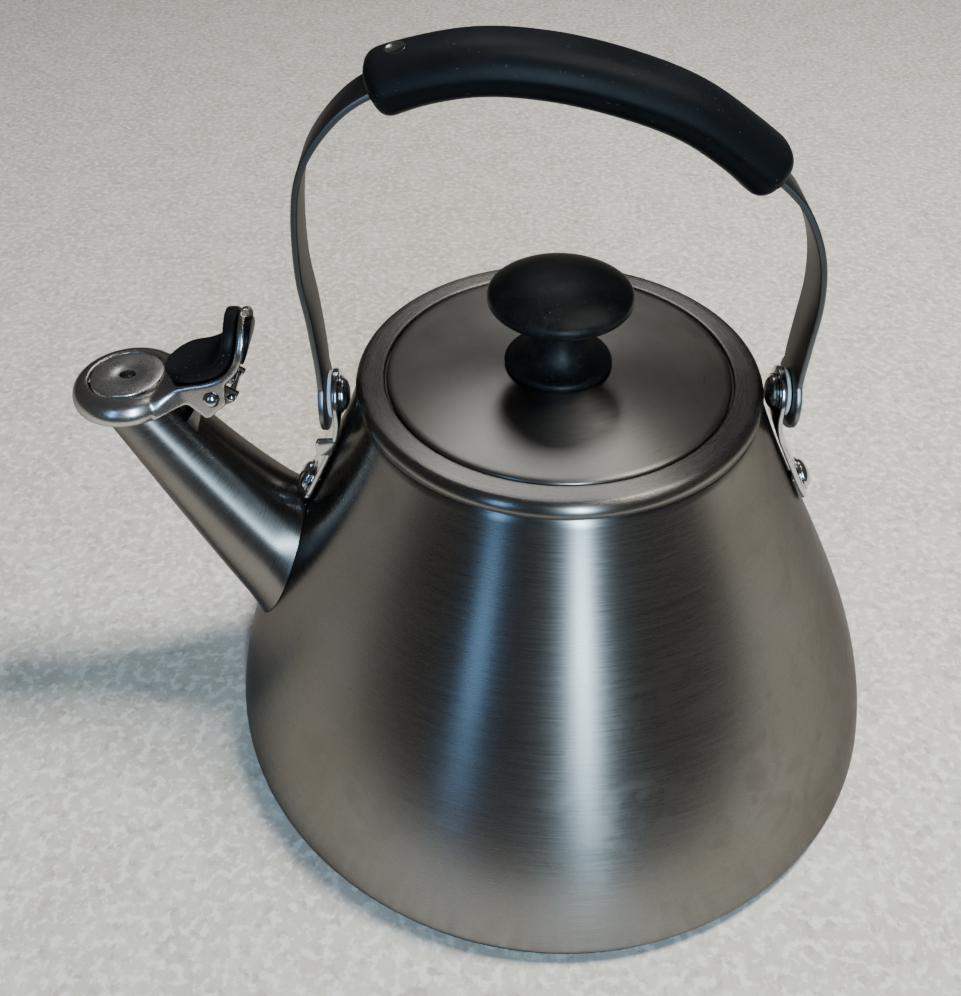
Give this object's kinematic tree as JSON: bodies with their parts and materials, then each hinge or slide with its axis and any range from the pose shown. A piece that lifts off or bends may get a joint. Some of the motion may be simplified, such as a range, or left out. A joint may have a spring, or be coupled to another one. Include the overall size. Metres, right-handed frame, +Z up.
{
  "type": "whistling kettle",
  "caption": "Stovetop kettle with a bell-shaped steel body, flush lift-off lid with mushroom knob, tapered spout with a sprung lever whistle cap, and a fold-down strap bail handle.",
  "frame": {"origin": "centre of the base's underside, on the surface the kettle stands on", "axes": "+Z up along the body's axis; -X towards the spout; the handle's pivot axis runs along X"},
  "size_m": [0.2414, 0.206, 0.2234],
  "materials": {
    "brushed_steel": "brushed, lightly stained",
    "polished_steel": "polished",
    "dark_base": "dark heat-tinted satin",
    "aluminium": "plain",
    "soft_black": "soft-touch matte",
    "black_plastic": "moulded matte",
    "white_nylon": "smooth"
  },
  "bodies": {
    "body": {"kettle_body": "brushed_steel", "base_core": "aluminium", "base_cap": "dark_base", "spout_tube": "brushed_steel", "spout_hinge_lug": "brushed_steel", "whistle_hinge_pin": "polished_steel", "whistle_stop_pin": "polished_steel", "whistle_spring": "polished_steel", "bracket_front": "polished_steel", "bracket_rear": "polished_steel", "foot_rivet_front": "polished_steel", "foot_rivet_rear": "polished_steel", "pivot_rivet_front": "polished_steel", "pivot_rivet_rear": "polished_steel"},
    "handle": {"handle_strap": "brushed_steel", "handle_grip": "soft_black", "grip_badge": "polished_steel", "pivot_washer_front": "white_nylon", "pivot_washer_rear": "white_nylon"},
    "lid": {"lid_plate": "brushed_steel", "lid_skirt": "brushed_steel", "lid_washer": "polished_steel", "lid_screw": "polished_steel", "knob_base": "black_plastic", "knob_cap": "black_plastic"},
    "whistle": {"whistle_cap": "brushed_steel", "whistle_disc_upper": "polished_steel", "whistle_disc_lower": "brushed_steel", "thumb_pad": "soft_black", "thumb_pad_back": "soft_black"}
  },
  "joints": [
    {"name": "handle_fold", "type": "hinge", "parent": "body", "child": "handle", "pos_m": [0, 0, 0.118], "axis": [1, 0, 0], "range_deg": [-100, 100]},
    {"name": "lid_lift", "type": "slide", "parent": "body", "child": "lid", "axis": [0, 0, 1], "range_m": [0, 0.04]},
    {"name": "whistle_open", "type": "hinge", "parent": "body", "child": "whistle", "pos_m": [-0.0967, 0, 0.1235], "axis": [0, 1, 0], "range_deg": [0, 60], "stiffness_Nm_per_rad": 0.05, "springref_deg": -28.65}
  ]
}
